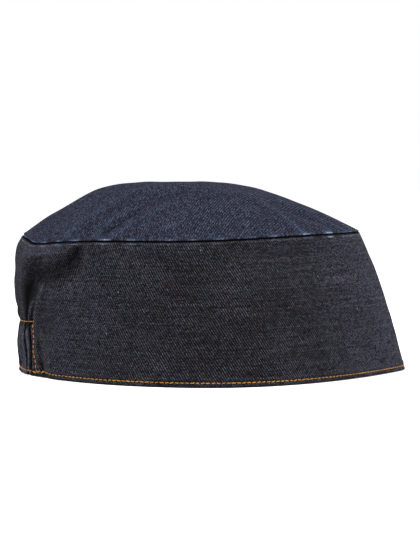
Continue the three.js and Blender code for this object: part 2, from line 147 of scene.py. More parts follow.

# A row for each point that a fold passes. around is a share of half the girth, up, left and right are shares
# of the band's height, and depth one of FOLD_DEPTH, below 0 for a ridge. dark is how much painted shade
# darkens a fold's colour, below 0 where it is rubbed paler than the rest.
Fold = namedtuple("Fold", "around up left right depth dark", defaults=[0])
BAND_FOLDS = {
    "nape corner, right": [
        Fold(0.093, 0.36, 0.045, 0.035, 0.12, 0.8),
        Fold(0.096, 0.43, 0.07, 0.045, 0.2, 1),
        Fold(0.103, 0.51, 0.1, 0.055, 0.22, 1),
        Fold(0.108, 0.575, 0.125, 0.07, 0.26, 1),
        Fold(0.113, 0.636, 0.13, 0.11, 0.3, 0.92),
        Fold(0.124, 0.7, 0.13, 0.14, 0.34, 0.6),
        Fold(0.133, 0.765, 0.15, 0.15, 0.3, 0.48),
        Fold(0.142, 0.83, 0.13, 0.13, 0.18, 0.2),
    ],
    "under the right pouch": [
        Fold(0.258, 0.99, 0.06, 0.05, 0.3, 0.25),
        Fold(0.252, 0.94, 0.1, 0.06, 0.45, 0.4),
        Fold(0.243, 0.885, 0.14, 0.085, 0.48, 0.5),
        Fold(0.228, 0.84, 0.16, 0.1, 0.46, 0.52),
        Fold(0.208, 0.807, 0.16, 0.1, 0.4, 0.52),
        Fold(0.185, 0.785, 0.14, 0.1, 0.3, 0.48),
        Fold(0.163, 0.777, 0.1, 0.1, 0.2, 0.25),
    ],
    "right pouch": [
        Fold(0.1, 0.94, 0.07, 0.06, -0.2),
        Fold(0.15, 0.94, 0.07, 0.06, -0.3),
        Fold(0.19, 0.95, 0.05, 0.05, -0.3),
        Fold(0.21, 0.96, 0.035, 0.04, -0.2),
    ],
    "rubbed face of the right pouch": [
        Fold(0.03, 0.99, 0.12, 0.22, 0, -0.32),
        Fold(0.12, 1, 0.12, 0.12, 0, -0.27),
        Fold(0.17, 1, 0.1, 0.1, 0, -0.27),
        Fold(0.22, 1, 0.06, 0.06, 0, -0.2),
    ],
    "dip below the seam, right": [
        Fold(0.292, 0.96, 0.06, 0.06, 0.08, 0.16),
        Fold(0.294, 0.9, 0.06, 0.06, 0.08, 0.05),
        Fold(0.3, 0.84, 0.06, 0.06, 0.02, 0),
    ],
    "first ridge from the casing, right": [
        Fold(0.109, 0.41, 0.02, 0.02, -0.16),
        Fold(0.12, 0.48, 0.024, 0.024, -0.18),
        Fold(0.132, 0.56, 0.028, 0.028, -0.06),
    ],
    "second fold from the casing, right": [
        Fold(0.115, 0.4, 0.024, 0.024, 0.2, 0.6),
        Fold(0.126, 0.48, 0.026, 0.026, 0.15, 0.35),
        Fold(0.14, 0.56, 0.03, 0.03, 0.04, 0.1),
    ],
    "second ridge from the casing, right": [
        Fold(0.131, 0.38, 0.016, 0.03, -0.1),
        Fold(0.162, 0.66, 0.03, 0.05, -0.14),
    ],
    "beside the casing, right": [
        Fold(0.154, 0.03, 0.02, 0.06, 0.28, 0.3),
        Fold(0.149, 0.12, 0.02, 0.07, 0.22, 0.22),
        Fold(0.142, 0.24, 0.024, 0.07, 0.1, 0.1),
    ],
    "nape corner, left": [
        Fold(-0.08, 0.4, 0.03, 0.05, 0.25, 0.5),
        Fold(-0.09, 0.52, 0.04, 0.09, 0.5, 0.85),
        Fold(-0.106, 0.64, 0.06, 0.1, 0.5, 0.75),
        Fold(-0.128, 0.77, 0.07, 0.09, 0.3, 0.4),
    ],
    "under the left pouch": [
        Fold(-0.25, 0.97, 0.05, 0.08, 0.4, 0.35),
        Fold(-0.235, 0.87, 0.06, 0.12, 0.7, 0.5),
        Fold(-0.2, 0.79, 0.08, 0.13, 0.6, 0.45),
        Fold(-0.165, 0.74, 0.08, 0.1, 0.25, 0.2),
    ],
    "left pouch": [
        Fold(-0.1, 0.92, 0.07, 0.07, -0.3),
        Fold(-0.18, 0.94, 0.05, 0.05, -0.3),
    ],
    "beside the casing, left": [
        Fold(-0.16, 0.04, 0.06, 0.024, 0.32, 0.4),
        Fold(-0.15, 0.24, 0.07, 0.024, 0.18, 0.15),
    ],
    "middle of the nape": [
        Fold(0.02, 0.42, 0.06, 0.08, 0.3, 0.3),
        Fold(-0.005, 0.6, 0.1, 0.1, 0.5, 0.35),
        Fold(-0.03, 0.8, 0.12, 0.12, 0.3, 0.2),
    ],
}


def smooth_table(at, places, values):
    """Values between the rows of a table, on a smooth curve through them."""
    places, values = np.array(places, float), np.array(values, float)
    slope = np.gradient(values, places, edge_order=1)
    slope[1:-1] = (values[2:] - values[:-2]) / (places[2:] - places[:-2])
    i = np.clip(np.searchsorted(places, at) - 1, 0, len(places) - 2)
    width = places[i + 1] - places[i]
    t = np.clip((at - places[i]) / width, 0, 1)
    bend = t * (1 - t) * width * (slope[i] * (1 - t) - slope[i + 1] * t)
    return values[i] + (values[i + 1] - values[i]) * t * t * (3 - 2 * t) + bend


def column(rows, name):
    return [getattr(row, name) for row in rows]


def eased(value, low, high):
    """0 below low, 1 above high, and a smooth rise between them."""
    t = np.clip((value - low) / (high - low), 0, 1)
    return t * t * (3 - 2 * t)


def bell(distance, half_width):
    return np.exp(-((distance / half_width) ** 2))


def crease(distance, width):
    """A valley pressed into cloth, pointed in its middle and level again at its width."""
    return np.clip(1 - np.abs(distance) / width, 0, 1) ** 1.15


# The profile of the painted shade across a fold
def shade_strip(distance, width):
    return np.clip(1.45 * (1 - np.abs(distance) / width), 0, 1)


def unit(vectors):
    return vectors / np.linalg.norm(vectors, axis=-1, keepdims=True)


def plan_outline(front, back, half_width, front_round, back_round):
    """A closed outline seen from above, from the nape by the wearer's right ear. Gives its girth, and a
    function from shares of the girth to the points there and the level ways out of the cap."""
    turn = np.linspace(0, 2 * np.pi, 4001)
    along, across = -np.cos(turn), -np.sin(turn)
    soft = np.where(along > 0, front_round, back_round)
    x = np.where(along > 0, front, back) * along
    y = half_width * across * np.sqrt((across**2 + soft) / (1 + soft))
    run = np.concatenate([[0], np.cumsum(np.hypot(np.diff(x), np.diff(y)))])

    def spot(place):
        place = np.mod(place, run[-1])
        return np.stack([np.interp(place, run, x), np.interp(place, run, y)], -1)

    def at(share):
        place = share * run[-1]
        tangent = unit(spot(place + 0.4) - spot(place - 0.4))
        return spot(place), np.stack([tangent[..., 1], -tangent[..., 0]], -1)

    return run[-1], at


hem_girth, hem_at = plan_outline(band_high.x, HEM_BACK, band_high.y, 0.1, 2.5)
seam_at = plan_outline(crown_high.x, -crown_low.x, crown_high.y, 0.9, 8)[1]
half_girth = hem_girth / 2
half_casing = CASING_WIDTH / 2


def seam_height_at(share):
    around = 1 - 2 * np.abs(np.mod(share, 1) - 0.5)
    heights = smooth_table(around, column(SEAM_SECTIONS, "around"), column(SEAM_SECTIONS, "height"))
    return SEAM_HEIGHT * heights


def seam_over(around):
    """The seam's height over a place along the hem."""
    return seam_height_at(around / hem_girth)


def casing_stitch_height(around):
    return CASING_STITCH_LOW + (CASING_STITCH_HIGH - CASING_STITCH_LOW) * (around / CASING_STITCH) ** 2


def casing_stitch_side(height):
    return CASING_STITCH + CASING_STITCH_SPLAY * (1 - eased(height, 5, 14))


def band_point(around, up, inset):
    """The band's surface, inset from the plain face between hem and seam."""
    around, up, inset = np.broadcast_arrays(around, up, inset)
    share = around / hem_girth
    (low, low_out), (high, high_out) = hem_at(share), seam_at(share)
    backness = np.cos(2 * np.pi * share)
    nape, forehead = np.maximum(backness, 0) ** 2, np.maximum(-backness, 0) ** 2
    weights = {"nape": nape, "forehead": forehead, "ear": 1 - nape - forehead}
    full = sum(
        weight * smooth_table(up, column(BAND_SECTIONS, "up"), column(BAND_SECTIONS, name))
        for name, weight in weights.items()
    )
    out = unit(low_out + (high_out - low_out) * up[..., None])
    level = low + (high - low) * up[..., None] + out * (BAND_FULLNESS * full - inset)[..., None]
    beside = np.abs(around) - half_casing
    lift = HEM_LIFT * eased(beside, -1, HEM_LIFT_RISE) * (1 - eased(beside, HEM_LIFT_RISE, HEM_LIFT_RUN))
    height = lift * (1 - up) + seam_height_at(share) * up
    return np.concatenate([level, height[..., None]], -1)


def folded(folds, place, x, y, size, kind="depth"):
    """How far a surface lies in at its points (x, y), as a share of the deepest fold, or for the dark column
    how much painted shade darkens it there. place turns a row of the table into a point, and size the row's
    widths into lengths."""
    total = np.zeros(np.broadcast(x, y).shape)
    for rows in folds.values():
        knots = np.arange(len(rows))
        fine = np.linspace(0, len(rows) - 1, 7 * (len(rows) - 1) + 1)
        points = np.array([place(row) for row in rows])
        path_x, path_y, left, right, depth = (
            smooth_table(fine, knots, values)
            for values in (*points.T, *(column(rows, key) for key in ("left", "right", kind)))
        )
        strongest = np.zeros_like(total)
        for i in range(len(fine) - 1):
            dx, dy = path_x[i + 1] - path_x[i], path_y[i + 1] - path_y[i]
            t = np.clip(((x - path_x[i]) * dx + (y - path_y[i]) * dy) / (dx * dx + dy * dy), 0, 1)
            off_x, off_y = x - path_x[i] - t * dx, y - path_y[i] - t * dy
            on_left = dx * (y - path_y[i]) - dy * (x - path_x[i]) > 0
            wide = size * np.where(
                on_left, left[i] + (left[i + 1] - left[i]) * t, right[i] + (right[i + 1] - right[i]) * t
            )
            deep, away = depth[i] + (depth[i + 1] - depth[i]) * t, np.hypot(off_x, off_y)
            valley = shade_strip(away, wide) if kind == "dark" else crease(away, wide)
            here = deep * np.where(deep > 0, valley, bell(away, 0.8 * wide))
            strongest = np.where(np.abs(here) > np.abs(strongest), here, strongest)
        total += strongest
    return total


def ripples(x, y, seed, count, shortest, longest, girth=None):
    """Soft uneven waves over a cloth, about 1 high. With a girth they close on themselves along x."""
    chance = np.random.default_rng(seed)
    total = np.zeros(np.broadcast(x, y).shape)
    for _ in range(count):
        length = np.exp(chance.uniform(np.log(shortest), np.log(longest)))
        angle, phase = chance.uniform(-1.3, 1.3), chance.uniform(0, 2 * np.pi)
        across = np.cos(angle) / length
        if girth:
            across = round(girth * across) / girth
        total += np.sin(2 * np.pi * (across * x + np.sin(angle) / length * y) + phase)
    return total / np.sqrt(count / 2)


def pleated(around, up):
    """1 in the middle of the deepest pleat."""
    casing_top = CASING_HEIGHT / SEAM_HEIGHT
    above = np.maximum(up - casing_top, 0) / (1 - casing_top)
    wide = PLEAT_HALF_WIDTH * (1 + 1.5 * above)
    total = np.zeros(np.broadcast(around, up).shape)
    lower = np.maximum(1 - up / casing_top, 0)
    for pleat in PLEATS:
        left_over = 1 - eased(above, 0, pleat.run)
        middle = pleat.at * half_casing + pleat.lean * lower
        total += pleat.depth * left_over * crease(around - middle, wide)
    return total


def seam_puckers(around):
    """The little gathers that the crown seam's stitches pull into both cloths, stronger at its ends."""
    strength = 0.35 + 0.65 * (bell(np.abs(around) - 52, 42) + bell(np.abs(around) - 225, 40))
    return strength * ripples(around, 0 * around, 5, 9, 5.5, 13, hem_girth)


def on_band(row):
    return row.around * half_girth, row.up * SEAM_HEIGHT


def band_folds(around, up):
    """How far the band's face lies in because of its folds and pleats, which end at the crown seam."""
    folds = FOLD_DEPTH * folded(BAND_FOLDS, on_band, around, up * SEAM_HEIGHT, SEAM_HEIGHT)
    return (folds + PLEAT_DEPTH * pleated(around, up)) * eased((1 - up) * SEAM_HEIGHT, 0, 5)


def band_fold_shade_and_rub(around, up):
    """How much painted shade darkens the band's folds and pleats, and below 0 how much paler it is rubbed.
    """
    folds = folded(BAND_FOLDS, on_band, around, up * SEAM_HEIGHT, SEAM_HEIGHT, "dark")
    pleats = np.minimum(PLEAT_SHADE * pleated(around, up), 1)
    total = np.clip(folds + pleats, -1, 1)
    return np.where(total > 0, total * eased((1 - up) * SEAM_HEIGHT, 0, 3), total)


def band_relief(around, up):
    """How far it lies in because of these, its stitches and its ripples."""
    height = up * seam_over(around)
    below_seam = seam_over(around) - height
    free = eased(below_seam, 0, 5.7) * eased(height, 0, 5)
    slack = STILL_SHARE + (1 - STILL_SHARE) * bell(around, SLACK_RUN)
    waves = WAVE_DEPTH * ripples(around, height, 11, 16, 22, 60, hem_girth)
    small_waves = SMALL_WAVE_DEPTH * ripples(around, height, 12, 18, 8, 20, hem_girth)
    on_casing = 1 - eased(np.abs(around), half_casing, half_casing + 4)
    pinch = CASING_PINCH * on_casing * bell(height - casing_stitch_height(around), 1.7)
    furrow = 0.8 * bell(height - HEM_STITCH_HEIGHT, 0.9)
    furrow += bell(np.abs(around) - casing_stitch_side(height), 1) * (1 - eased(height, 27, 29))
    turn_up = -HEM_STEP * (1 - eased(height, HEM_TURN_UP - 0.6, HEM_TURN_UP + 0.5))
    slant = around / ROPE_PITCH + height / 4 + 0.5 * ripples(around, 0 * height, 6, 6, 15, 60, hem_girth)
    roping = ROPE_DEPTH * np.sin(2 * np.pi * slant) * bell(height - 1.2, 1.3)
    puckers = -PUCKER_DEPTH * seam_puckers(around) * bell(below_seam - 1.5, 3.2)
    sewn = pinch + STITCH_DENT * furrow + turn_up + roping + puckers
    return band_folds(around, up) + (waves + small_waves) * slack * free + sewn


def ridges(relief, x, y, step_x, step_y):
    """How far each point stands out from its surroundings: above 0 a ridge, where a worn cap rubs pale,
    below 0 a hollow, where painted shade darkens it.
    """
    around_it = relief(x - step_x, y) + relief(x + step_x, y) + relief(x, y - step_y) + relief(x, y + step_y)
    return around_it / 4 - relief(x, y)


def cloth(name, points, flat, shares, material, left_out=()):
    """A sewn cloth over a grid of points, with its flat pattern as a UV map in metres and one attribute for
    each of shares. Columns and rows that meet are welded. left_out are the strips between rows to skip."""
    columns, rows = points.shape[:2]
    number = np.arange(columns * rows).reshape(columns, rows)
    quads = np.stack([number[:-1, :-1], number[1:, :-1], number[1:, 1:], number[:-1, 1:]], -1)
    kept = np.array([row for row in range(rows - 1) if row not in left_out])
    mesh = bpy.data.meshes.new(name)
    faces = quads[:, kept].reshape(-1, 4)
    mesh.from_pydata((points.reshape(-1, 3) * MM).tolist(), [], faces.tolist())
    corner = np.empty(len(mesh.loops), int)
    mesh.loops.foreach_get("vertex_index", corner)
    pattern = mesh.uv_layers.new(name="cloth")
    pattern.data.foreach_set("uv", (flat.reshape(-1, 2)[corner] * MM).ravel())
    for key, values in shares.items():
        spread = np.broadcast_to(values, (columns, rows)).astype(float).ravel()
        mesh.attributes.new(key, "FLOAT", "POINT").data.foreach_set("value", spread)
    welded = bmesh.new()
    welded.from_mesh(mesh)
    bmesh.ops.remove_doubles(welded, verts=welded.verts, dist=0.002 * MM)
    bmesh.ops.dissolve_degenerate(welded, edges=welded.edges, dist=0.002 * MM)
    welded.to_mesh(mesh)
    welded.free()
    mesh.shade_smooth()
    mesh.materials.append(material)
    made = bpy.data.objects.new(name, mesh)
    bpy.context.scene.collection.objects.link(made)
    return made


def linear(hex_colour):
    """An sRGB hex colour as linear RGBA."""
    parts = [int(hex_colour[i : i + 2], 16) / 255 for i in (0, 2, 4)]
    return (*(c / 12.92 if c <= 0.04045 else ((c + 0.055) / 1.055) ** 2.4 for c in parts), 1)


def add(tree, kind, sockets=None, **settings):
    """Adds a node with its settings and links, and gives its outputs. sockets gives each input a value, or
    another node's output."""
    made = tree.nodes.new(kind)
    for name, value in settings.items():
        setattr(made, name, value)
    for socket, value in (sockets or {}).items():
        if isinstance(value, bpy.types.NodeSocket):
            tree.links.new(value, made.inputs[socket])
        else:
            made.inputs[socket].default_value = value
    return made.outputs


# Real warp yarns stand about 0.35 mm apart and weft yarns 0.5 mm. The weft rows are drawn wider, because
# the picture's points are half a millimetre wide.
WARP_PITCH = 0.33
WEFT_PITCH = 0.65
TWILL_REPEAT = 4.0  # warp yarns
GRAIN_WIDTH = 0.8  # of the points of cloth that take the dye alike, longer along the weft
GRAIN_HEIGHT = 0.4
GRAIN = 1.55  # how unevenly they take it
SLUB_TONE = 1.8  # how much the weft's thick and thin stretches change the colour
CLOUD_TONE = 0.8
SPOT_TONE = 1.1
LEAST_TONE = 0.25
FLECKS = 0.99996  # the share of crossings without a fleck
BARE_FROM = 0.9  # the wear that bares the yarn's white core
# Painted shade never darkens the cloth below this share of its colour
LEAST_LIGHT = 0.04  # how much of its colour the deepest groove keeps


def denim(name, warp_dark, warp_light, weft_dark, weft_light, rubbed, reverse, lean, scatter, grain_share):
    """Indigo denim, a three-and-one twill: dyed warp over pale weft. The eye gets a fine salt and pepper of
    pale weft dots in steep lines, uneven yarns, slubs along the weft, and rubbed ridges. Painted shade
    darkens it where its attribute is below 0."""
    material = bpy.data.materials.new(name)
    material.use_nodes = True
    tree = material.node_tree
    tree.nodes.clear()
    flat = add(tree, "ShaderNodeUVMap", uv_map="cloth")[0]
    split = add(tree, "ShaderNodeSeparateXYZ", {0: flat})

    def patches(width, height, detail, seed):
        """Soft uneven patches over the flat cloth, about so many millimetres wide and high."""
        scale = (1 / (width * MM), 1 / (height * MM), 1)
        place = add(tree, "ShaderNodeMapping", {0: flat, "Location": (seed, seed, seed), "Scale": scale})[0]
        return add(tree, "ShaderNodeTexNoise", {"Vector": place, "Scale": 1.0, "Detail": detail})[0]

    # Yarns wander a little from their straight lines.
    wander = add(tree, "ShaderNodeMath", {0: patches(5, 5, 1, 0), 1: 0.5}, operation="SUBTRACT")[0]
    yarns, rounds = [], []
    for along, pitch in zip(split, (WARP_PITCH, WEFT_PITCH)):
        straight = add(tree, "ShaderNodeMath", {0: along, 1: pitch * MM}, operation="DIVIDE")[0]
        run = add(tree, "ShaderNodeMath", {0: straight, 1: wander}, operation="ADD")[0]
        yarns.append(add(tree, "ShaderNodeMath", {0: run}, operation="FLOOR")[0])
        across = add(tree, "ShaderNodeMath", {0: run}, operation="FRACT")[0]
        arc = add(tree, "ShaderNodeMath", {0: across, 1: np.pi}, operation="MULTIPLY")[0]
        rounds.append(add(tree, "ShaderNodeMath", {0: arc}, operation="SINE")[0])
    warp, weft = yarns
    crossing = add(tree, "ShaderNodeCombineXYZ", {0: warp, 1: weft})[0]
    # The weft comes up over every fourth warp yarn, one further on in each row: that draws the twill lines.
    # Washing has moved the yarns, so some come up a little beside their place.
    chance = add(tree, "ShaderNodeTexWhiteNoise", {"Vector": crossing}, noise_dimensions="3D")
    strays = add(tree, "ShaderNodeSeparateColor", {0: chance["Color"]})
    step = add(tree, "ShaderNodeMath", {0: weft, 1: lean, 2: warp}, operation="MULTIPLY_ADD")[0]
    step = add(tree, "ShaderNodeMath", {0: strays[1], 1: scatter, 2: step}, operation="MULTIPLY_ADD")[0]
    place = add(tree, "ShaderNodeMath", {0: step, 1: TWILL_REPEAT}, operation="FLOORED_MODULO")[0]
    weft_up = add(tree, "ShaderNodeMath", {0: place, 1: 1.0}, operation="LESS_THAN")[0]

    colours = []
    for yarn, own, dark, light in ((warp, 0.25, warp_dark, warp_light), (weft, 0.35, weft_dark, weft_light)):
        tone = add(tree, "ShaderNodeTexWhiteNoise", {"W": yarn}, noise_dimensions="1D")[0]
        spot = add(tree, "ShaderNodeMath", {0: chance[0], 1: 1 - own}, operation="MULTIPLY")[0]
        share = add(tree, "ShaderNodeMath", {0: tone, 1: own, 2: spot}, operation="MULTIPLY_ADD")[0]
        shades = {0: share, 6: linear(dark), 7: linear(light)}
        colours.append(add(tree, "ShaderNodeMix", shades, data_type="RGBA")[2])
    woven = add(tree, "ShaderNodeMix", {0: weft_up, 6: colours[0], 7: colours[1]}, data_type="RGBA")[2]

    slubs = patches(30, 1.0, 2, 3.0)
    clouds, thick_spots = patches(28, 22, 3, 7.0), patches(2.4, 0.6, 2, 5.0)
    gain = -(SLUB_TONE + CLOUD_TONE + SPOT_TONE) / 2
    for uneven, strength in ((slubs, SLUB_TONE), (clouds, CLOUD_TONE), (thick_spots, SPOT_TONE)):
        gain = add(tree, "ShaderNodeMath", {0: uneven, 1: strength, 2: gain}, operation="MULTIPLY_ADD")[0]
    gain = add(tree, "ShaderNodeMath", {0: gain, 1: grain_share, 2: 1.0}, operation="MULTIPLY_ADD")[0]
    gain = add(tree, "ShaderNodeMath", {0: gain, 1: LEAST_TONE}, operation="MAXIMUM")[0]

    # No two points of the cloth take the dye alike, some redder and some bluer.
    scale = (1 / (GRAIN_WIDTH * MM), 1 / (GRAIN_HEIGHT * MM), 1)
    cells = {"Vector": add(tree, "ShaderNodeMapping", {0: flat, "Scale": scale})[0], "Scale": 1.0}
    point = add(tree, "ShaderNodeTexVoronoi", cells, voronoi_dimensions="2D")["Color"]
    takes = add(tree, "ShaderNodeSeparateColor", {0: point})
    grain = GRAIN * grain_share
    dyed = {0: takes[0], 1: grain, 2: 1 - grain / 2}
    depth_of_dye = add(tree, "ShaderNodeMath", dyed, operation="MULTIPLY_ADD")[0]
    shades = {0: takes[1], 6: linear("f9dfe0"), 7: linear("cff2fb")}
    tint = add(tree, "ShaderNodeMix", shades, data_type="RGBA")[2]
    toned = add(tree, "ShaderNodeVectorMath", {0: woven, "Scale": gain}, operation="SCALE")[0]
    toned = add(tree, "ShaderNodeVectorMath", {0: toned, 1: tint}, operation="MULTIPLY")[0]
    toned = add(tree, "ShaderNodeVectorMath", {0: toned, "Scale": depth_of_dye}, operation="SCALE")[0]

    # A few flecks of undyed cotton
    drawn = add(tree, "ShaderNodeTexWhiteNoise", {"Vector": crossing, "W": 4.0}, noise_dimensions="4D")[0]
    fleck = add(tree, "ShaderNodeMath", {0: drawn, 1: FLECKS}, operation="GREATER_THAN")[0]
    fleck = add(tree, "ShaderNodeMath", {0: fleck, 1: 0.35}, operation="MULTIPLY")[0]
    flecked = add(tree, "ShaderNodeMix", {0: fleck, 6: toned, 7: linear("8fb4c8")}, data_type="RGBA")[2]

    # Rubbing takes dye off in patches, and the yarn's core shows where it took the least. The same paler
    # colour also paints a sheen towards the band's ends.
    wear_and_shade = add(tree, "ShaderNodeAttribute", attribute_name="wear_and_shade")[2]
    patchy = {0: patches(2.5, 2.5, 3, 11.0), 1: 0.8, 2: 0.6}
    patchy = add(tree, "ShaderNodeMath", patchy, operation="MULTIPLY_ADD")[0]
    rub = add(tree, "ShaderNodeMath", {0: wear_and_shade, 1: patchy}, operation="MULTIPLY")[0]
    rub = add(tree, "ShaderNodeClamp", {0: rub, 1: 0.0, 2: 1.3})[0]
    rub = add(tree, "ShaderNodeMath", {0: rub, 1: depth_of_dye}, operation="MULTIPLY")[0]
    paler = {0: linear(rubbed)[:3], "Scale": rub}
    paler = add(tree, "ShaderNodeVectorMath", paler, operation="SCALE")[0]
    worn = add(tree, "ShaderNodeVectorMath", {0: flecked, 1: paler}, operation="ADD")[0]
    bare = add(tree, "ShaderNodeMath", {0: wear_and_shade, 1: BARE_FROM}, operation="SUBTRACT")[0]
    bare = add(tree, "ShaderNodeClamp", {0: bare, 1: 0.0, 2: 0.6})[0]
    bare = add(tree, "ShaderNodeMath", {0: bare, 1: strays[2]}, operation="MULTIPLY")[0]
    worn = add(tree, "ShaderNodeMix", {0: bare, 6: worn, 7: linear("7d8b99")}, data_type="RGBA")[2]
    # Below 0 the value is painted shade in folds, pleats, hollows and the seam groove, and darkens the cloth
    # there.
    lit = add(tree, "ShaderNodeMath", {0: wear_and_shade, 1: 1.0}, operation="ADD")[0]
    lit = add(tree, "ShaderNodeClamp", {0: lit, 1: LEAST_LIGHT, 2: 1.0})[0]
    deep = add(tree, "ShaderNodeVectorMath", {0: worn, "Scale": lit}, operation="SCALE")[0]
    inside = add(tree, "ShaderNodeAttribute", attribute_name="reverse")[2]
    finished = add(tree, "ShaderNodeMix", {0: inside, 6: deep, 7: linear(reverse)}, data_type="RGBA")[2]

    on_top = add(tree, "ShaderNodeMix", {0: weft_up, 2: rounds[0], 3: rounds[1]}, data_type="FLOAT")[0]
    relief = add(tree, "ShaderNodeMath", {0: slubs, 1: 1.6, 2: on_top}, operation="MULTIPLY_ADD")[0]
    bump = add(tree, "ShaderNodeBump", {"Strength": 0.5, "Distance": 0.12 * MM, "Height": relief})[0]
    surface = {"Base Color": finished, "Roughness": 0.92, "Specular IOR Level": 0.02, "Normal": bump}
    add(tree, "ShaderNodeOutputMaterial", {0: add(tree, "ShaderNodeBsdfPrincipled", surface)[0]})
    return material


band_denim = denim(
    "indigo denim, three-and-one twill, warp upright",
    warp_dark="040406",
    warp_light="161417",
    weft_dark="19181b",
    weft_light="413f44",
    rubbed="202129",
    reverse="4a4e58",
    lean=1.0,
    scatter=0.8,
    grain_share=1,
)


def closed_rows():
    """The band's section from its hem up the face, over the seam and down the inside: up, depth and reverse
    for each row, ending where it starts."""
    radius = HEM_LAYERS / 2
    outside = np.concatenate([
        np.arange(radius, 6.5, 0.5),
        np.arange(6.5, SEAM_HEIGHT - 3.6, 0.9),
        np.arange(SEAM_HEIGHT - 3, SEAM_HEIGHT - GROOVE - 0.1, 0.3),
    ])
    top = np.linspace(0, np.pi, 7)
    inside = np.linspace(SEAM_HEIGHT - 2, HEM_TURN_UP + 1.2, 22)
    step_in = np.linspace(0, np.pi / 2, 4)
    inner_hem = np.linspace(HEM_TURN_UP, radius, 8)
    bottom = np.linspace(0, np.pi, 9)[1:]
    heights = np.concatenate([
        outside,
        SEAM_HEIGHT - GROOVE * (1 - np.sin(top)),
        inside,
        HEM_TURN_UP + 0.6 * (1 - np.sin(step_in)),
        inner_hem,
        radius * (1 - np.sin(bottom)),
    ])
    depths = np.concatenate([
        0 * outside,
        CLOTH / 2 * (1 - np.cos(top)),
        0 * inside + CLOTH,
        CLOTH + (HEM_LAYERS - CLOTH) * (1 - np.cos(step_in)),
        0 * inner_hem + HEM_LAYERS,
        radius * (1 + np.cos(bottom)),
    ])
    reverse = np.concatenate([0 * outside, 0 * top, 0 * inside + 1, 0 * step_in, 0 * inner_hem, 0 * bottom])
    return heights / SEAM_HEIGHT, depths, reverse


def spread_columns():
    """Distances round the band, close together where it is pleated and folded."""
    places = [0, 18, 22, 44, 50, 78, 95, half_girth - 22, half_girth - 12, half_girth]
    steps = [0.6, 0.6, 0.42, 0.42, 0.9, 1.1, 2.1, 2.1, 1, 1]
    fine = np.linspace(0, half_girth, 4000)
    count = np.concatenate([[0], np.cumsum(np.diff(fine) / np.interp(fine[1:], places, steps))])
    half = np.interp(np.linspace(0, count[-1], int(count[-1])), count, fine)
    return np.concatenate([-half[:0:-1], half])


arounds = spread_columns()
ups, depths, reverse_side = closed_rows()
grid_around, grid_up = np.meshgrid(arounds, ups, indexing="ij")
relief = band_relief(grid_around, grid_up)
fold_shade_and_rub = band_fold_shade_and_rub(grid_around, grid_up)
below_seam = (1 - grid_up) * SEAM_HEIGHT
from_nape = np.abs(grid_around)
gathered = eased(half_casing + 1 - from_nape, 0, 3) * eased(CASING_HEIGHT + below_seam - SEAM_HEIGHT, 0, 4)
# Rubbed paler and painted sheen, towards the forehead and beside the casing
rub = np.interp(from_nape, column(RUB_AND_SHEEN_SECTIONS, "around"), column(RUB_AND_SHEEN_SECTIONS, "rub"))
# Ridges rubbed paler, with painted shade in the hollows, folds, pleats and the seam groove
band_wear_and_shade = RIDGE_RUB_AND_HOLLOW_SHADE * ridges(band_relief, grid_around, grid_up, 1.6, 1.6 / SEAM_HEIGHT)
band_wear_and_shade += WIDE_RIDGE_RUB_AND_HOLLOW_SHADE * ridges(band_relief, grid_around, grid_up, 5, 5 / SEAM_HEIGHT)
band_wear_and_shade += rub * (1 - np.clip(2.5 * fold_shade_and_rub, 0, 1)) - fold_shade_and_rub
band_wear_and_shade += PLEAT_RUB * gathered * (1 - pleated(grid_around, grid_up))
band_wear_and_shade += SEAM_RUB * bell(below_seam - 1.2, 0.3) * (1 + seam_puckers(grid_around))
# Painted shade in the groove under the crown's lip
band_wear_and_shade -= SEAM_GROOVE_SHADE * bell(below_seam - 0.1, 0.3)
band_flat = np.stack([grid_around, grid_up * SEAM_HEIGHT], -1)
side_band = cloth(
    "side_band_denim",
    band_point(grid_around, grid_up, relief + depths),
    band_flat,
    {"wear_and_shade": band_wear_and_shade, "reverse": reverse_side},
    band_denim,
)
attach(side_band, "root")
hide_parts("side_band")


# Crown panel: an oval of the same denim, domed, with its warp across the head. Its edge turns down into the
# seam, and the stitches there leave small gathers. Its ridges are rubbed smooth and blue, and painted shade
# darkens its hollows and the seam's groove.
CAP_HEIGHT = crown_high.z
CROWN_CENTRE = -16
SEWING_GAP = 0.2
LIP_HEIGHT = 1.5
LIP_SET_BACK = 1.3
END_SET_BACK = 0.8  # and this much more at the nape and forehead
FOREHEAD_LIP = 0.55  # height of the lip at the forehead, as a share of its height elsewhere
ALLOWANCE = 7  # the cut edge inside the seam
CREASE_DEPTH = 1.7
CROWN_WAVE_DEPTH = 0.2
CROWN_SMALL_WAVE_DEPTH = 0.03
# Rub on the crown's ridges, and painted shade in its hollows
CROWN_RIDGE_RUB_AND_HOLLOW_SHADE = 0.85
LIP_RUB = 0.45
LIP_RUB_MOST = 1.35
GATHER_RUB = 3  # how much more the gathers of the lip are rubbed than the rest of it

CrownRow = namedtuple("CrownRow", "reach back front")
CROWN_SECTIONS = [
    CrownRow(0, 1, 1),
    CrownRow(0.14, 0.998, 0.995),
    CrownRow(0.28, 0.985, 0.965),
    CrownRow(0.42, 0.945, 0.875),
    CrownRow(0.55, 0.82, 0.74),
    CrownRow(0.7, 0.585, 0.525),
    CrownRow(0.85, 0.33, 0.275),
    CrownRow(1, 0, 0),
]

